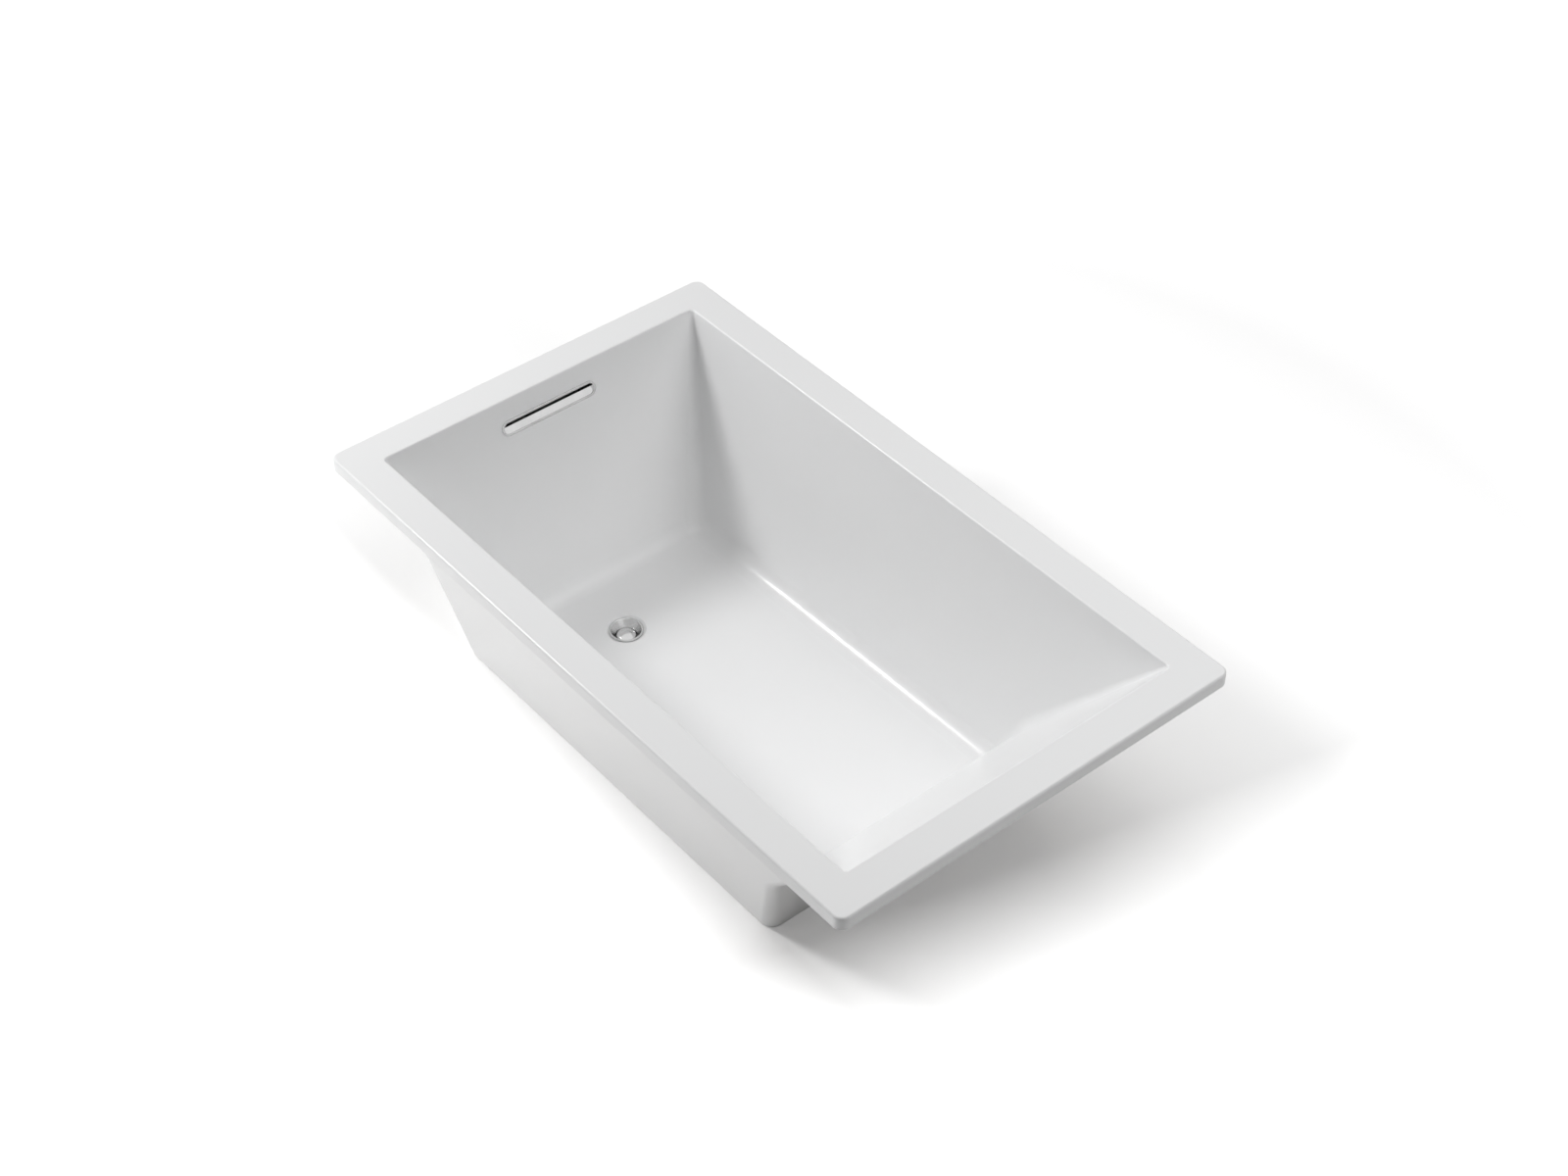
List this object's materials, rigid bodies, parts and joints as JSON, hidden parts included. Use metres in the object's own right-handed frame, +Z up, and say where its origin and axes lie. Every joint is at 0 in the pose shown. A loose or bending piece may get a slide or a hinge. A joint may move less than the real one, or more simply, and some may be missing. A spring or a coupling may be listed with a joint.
{
  "type": "bathtub",
  "caption": "Rectangular bath with a wide flat rim, tapered body, sloping backrest, end drain with stopper, slotted overflow and levelling feet.",
  "frame": {"origin": "on the ground, below the middle of the rim", "axes": "+X from the drain end to the backrest end, +Y to the far long side, +Z up"},
  "size_m": [1.524, 0.9144, 0.52],
  "materials": {
    "white_acrylic": "polished",
    "white_gelcoat": "smooth gloss",
    "glass_laminate": "rough, with short glass strands",
    "timber_board": "sawn board",
    "galvanised_steel": "zinc spangle",
    "zinc_steel": "bright zinc",
    "chrome": "polished",
    "brass": "turned",
    "black_rubber": "matte",
    "grey_plastic": "satin",
    "white_pipe": "satin"
  },
  "bodies": {
    "bath": {"baseboard": "timber_board", "bath_shell": "white_acrylic", "drain_flange": "chrome", "drain_gasket": "black_rubber", "flange_seal": "black_rubber", "floor_laminate": "glass_laminate", "lock_nuts": "zinc_steel", "outer_body": "white_gelcoat", "overflow_gasket": "black_rubber", "overflow_housing": "grey_plastic", "overflow_nut": "white_pipe", "overflow_pipe": "white_pipe", "overflow_screws": "zinc_steel", "overflow_trim": "chrome", "overflow_washer": "black_rubber", "rail_end_caps": "grey_plastic", "rail_nuts": "zinc_steel", "rail_screws": "zinc_steel", "rim_batten_back_end": "timber_board", "rim_batten_drain_end": "timber_board", "rim_batten_far": "timber_board", "rim_batten_near": "timber_board", "stopper_cartridge": "brass", "support_rail_far": "galvanised_steel", "support_rail_near": "galvanised_steel", "tee_side_nut": "white_pipe", "tee_side_washer": "black_rubber", "tee_top_nut": "white_pipe", "tee_top_washer": "black_rubber", "waste_pipe": "white_pipe", "waste_shoe": "white_pipe", "waste_tee": "white_pipe"},
    "stopper": {"stopper_cap": "chrome", "stopper_seal": "black_rubber", "stopper_stem": "brass"},
    "foot_1": {"foot_stud_1": "zinc_steel", "foot_pad_1": "black_rubber"},
    "foot_2": {"foot_stud_2": "zinc_steel", "foot_pad_2": "black_rubber"},
    "foot_3": {"foot_stud_3": "zinc_steel", "foot_pad_3": "black_rubber"},
    "foot_4": {"foot_stud_4": "zinc_steel", "foot_pad_4": "black_rubber"}
  },
  "joints": [
    {"name": "stopper_slide", "type": "slide", "parent": "bath", "child": "stopper", "axis": [0, 0, 1], "range_m": [-0.008, 0]},
    {"name": "foot_1_screw", "type": "slide", "parent": "bath", "child": "foot_1", "axis": [0, 0, 1], "range_m": [-0.01, 0.006]},
    {"name": "foot_2_screw", "type": "slide", "parent": "bath", "child": "foot_2", "axis": [0, 0, 1], "range_m": [-0.01, 0.006]},
    {"name": "foot_3_screw", "type": "slide", "parent": "bath", "child": "foot_3", "axis": [0, 0, 1], "range_m": [-0.01, 0.006]},
    {"name": "foot_4_screw", "type": "slide", "parent": "bath", "child": "foot_4", "axis": [0, 0, 1], "range_m": [-0.01, 0.006]}
  ]
}
